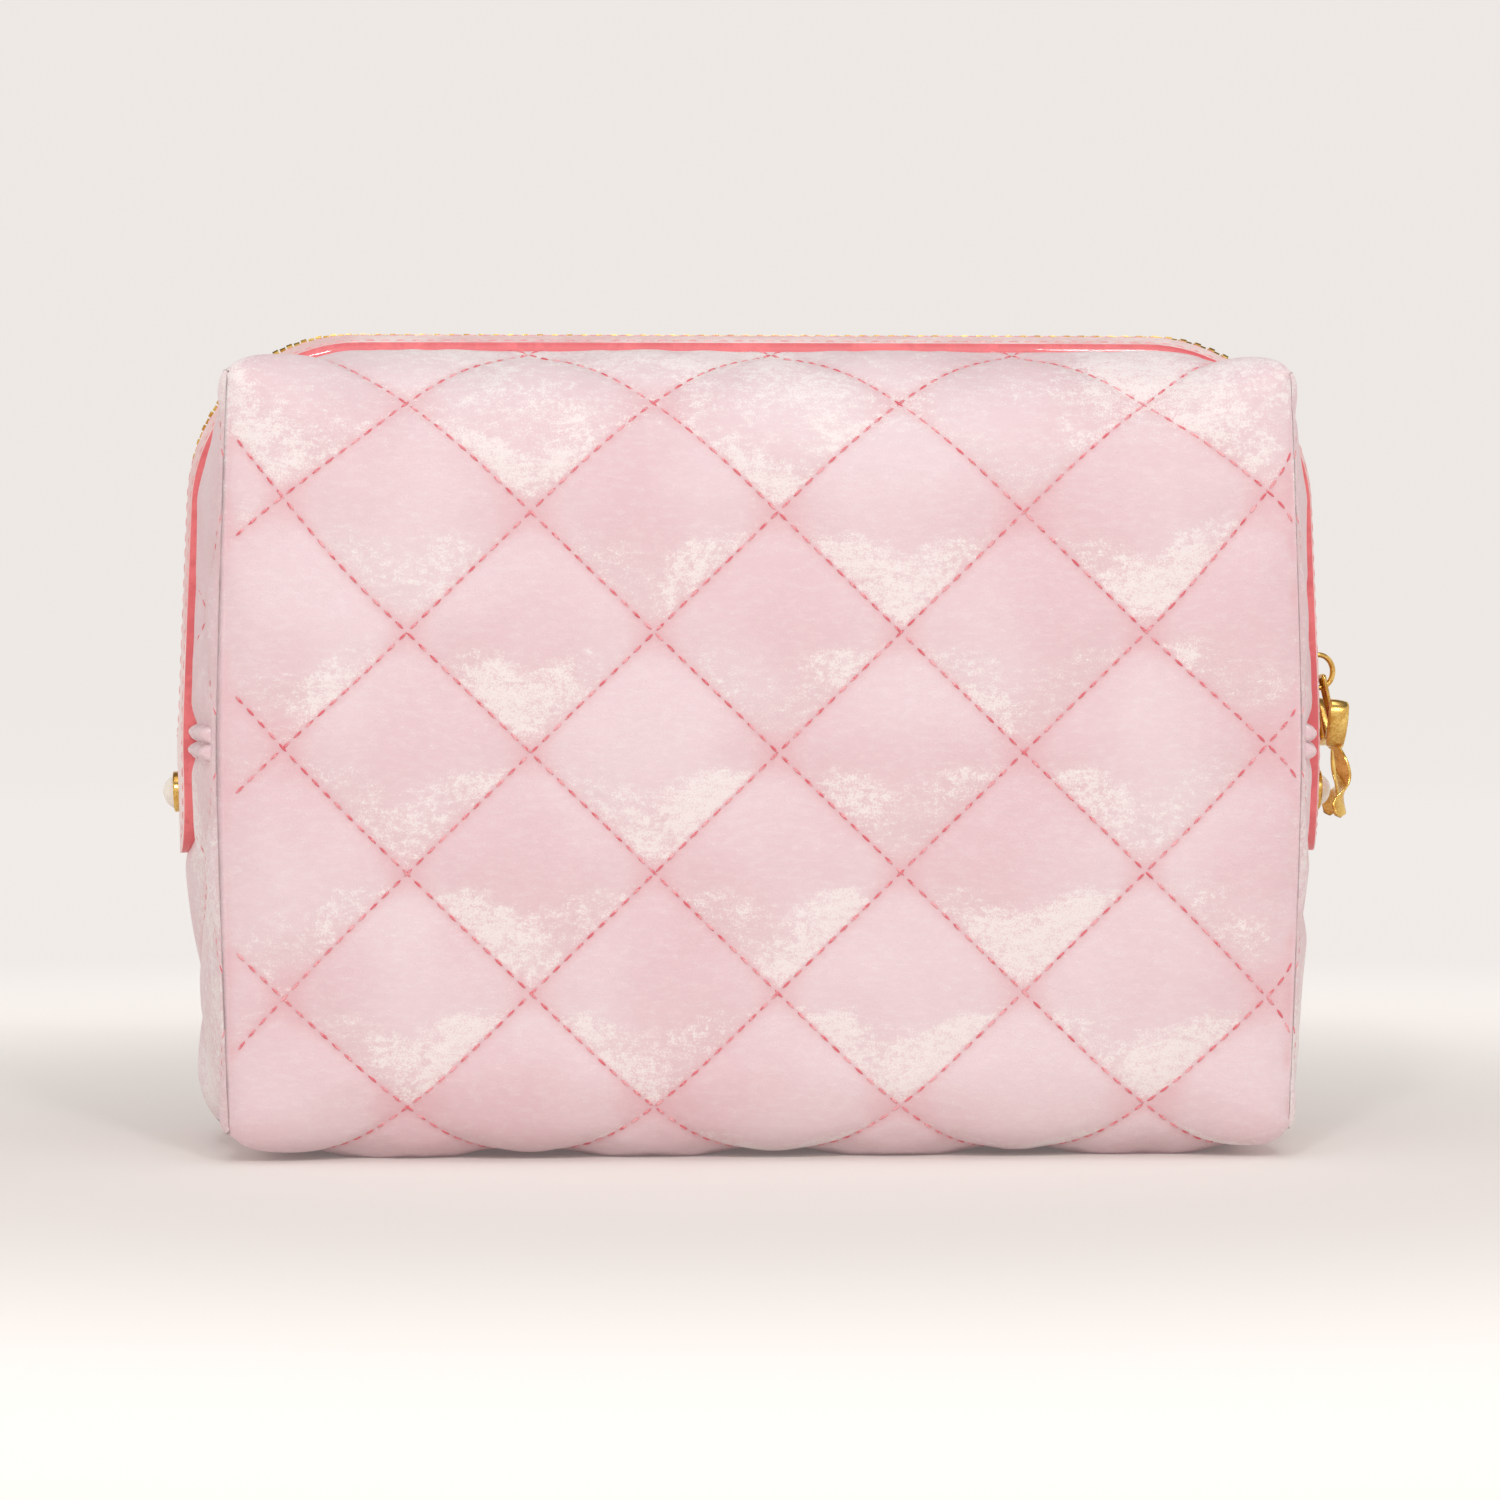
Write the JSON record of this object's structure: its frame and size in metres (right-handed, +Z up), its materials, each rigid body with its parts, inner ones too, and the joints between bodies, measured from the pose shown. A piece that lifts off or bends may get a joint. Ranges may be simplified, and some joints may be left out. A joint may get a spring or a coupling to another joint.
{
  "type": "makeup bag",
  "caption": "Boxy quilted velvet makeup bag with a smooth-trimmed metal zip over its top and sides, pearl studs and a bow puller.",
  "frame": {"origin": "middle of the base, on the surface that the bag stands on", "axes": "+X along the bag's width to the end with the bow, -Y the front face, +Z up"},
  "size_m": [0.252, 0.094, 0.1715],
  "materials": {
    "velvet": "short quilted velvet with diamond stitching",
    "wadding": "soft fibre wadding",
    "lining": "smooth satin lining",
    "trim": "smooth leatherette with painted edges",
    "zip_tape": "woven zip tape",
    "gold": "polished gold plating",
    "pearl": "pearl lacquer"
  },
  "bodies": {
    "lower_shell": {"velvet_lower": "velvet", "velvet_fold_front": "velvet", "velvet_fold_back": "velvet", "wadding_lower": "wadding", "wadding_fold_front": "wadding", "wadding_fold_back": "wadding", "lining_lower": "lining", "lining_fold_front": "lining", "lining_fold_back": "lining", "trim_tab_left": "trim", "trim_tab_right": "trim", "stud_cup_left": "gold", "stud_cup_right": "gold", "pearl_left": "pearl", "pearl_right": "pearl", "stud_rivet_left": "gold", "stud_rivet_right": "gold"},
    "front_half": {"velvet_front": "velvet", "wadding_front": "wadding", "lining_front": "lining", "trim_front": "trim", "tape_front": "zip_tape", "teeth_front": "gold", "slider_teeth_front": "gold", "zip_stops_front": "gold"},
    "back_half": {"velvet_back": "velvet", "wadding_back": "wadding", "lining_back": "lining", "trim_back": "trim", "tape_back": "zip_tape", "teeth_back": "gold", "slider_teeth_back": "gold", "zip_stops_back": "gold"},
    "slider": {"slider_body": "gold", "slider_crown": "gold"},
    "puller": {"bow_puller": "gold"}
  },
  "joints": [
    {"name": "front_opening", "type": "hinge", "parent": "lower_shell", "child": "front_half", "pos_m": [0, 0, 0.088], "axis": [1, 0, 0], "range_deg": [0, 20], "deforming": ["velvet_fold_front", "wadding_fold_front", "lining_fold_front"]},
    {"name": "back_opening", "type": "hinge", "parent": "lower_shell", "child": "back_half", "pos_m": [0, 0, 0.088], "axis": [-1, 0, 0], "range_deg": [0, 20], "deforming": ["velvet_fold_back", "wadding_fold_back", "lining_fold_back"]},
    {"name": "slider_travel", "type": "slide", "parent": "back_half", "child": "slider", "axis": [-0.0436, 0, 0.999], "range_m": [0, 0.038], "deforming": ["slider_teeth_front", "slider_teeth_back"]},
    {"name": "puller_swing", "type": "hinge", "parent": "slider", "child": "puller", "pos_m": [0.12242, 0, 0.09854], "axis": [0, -1, 0], "range_deg": [0, 120]}
  ]
}
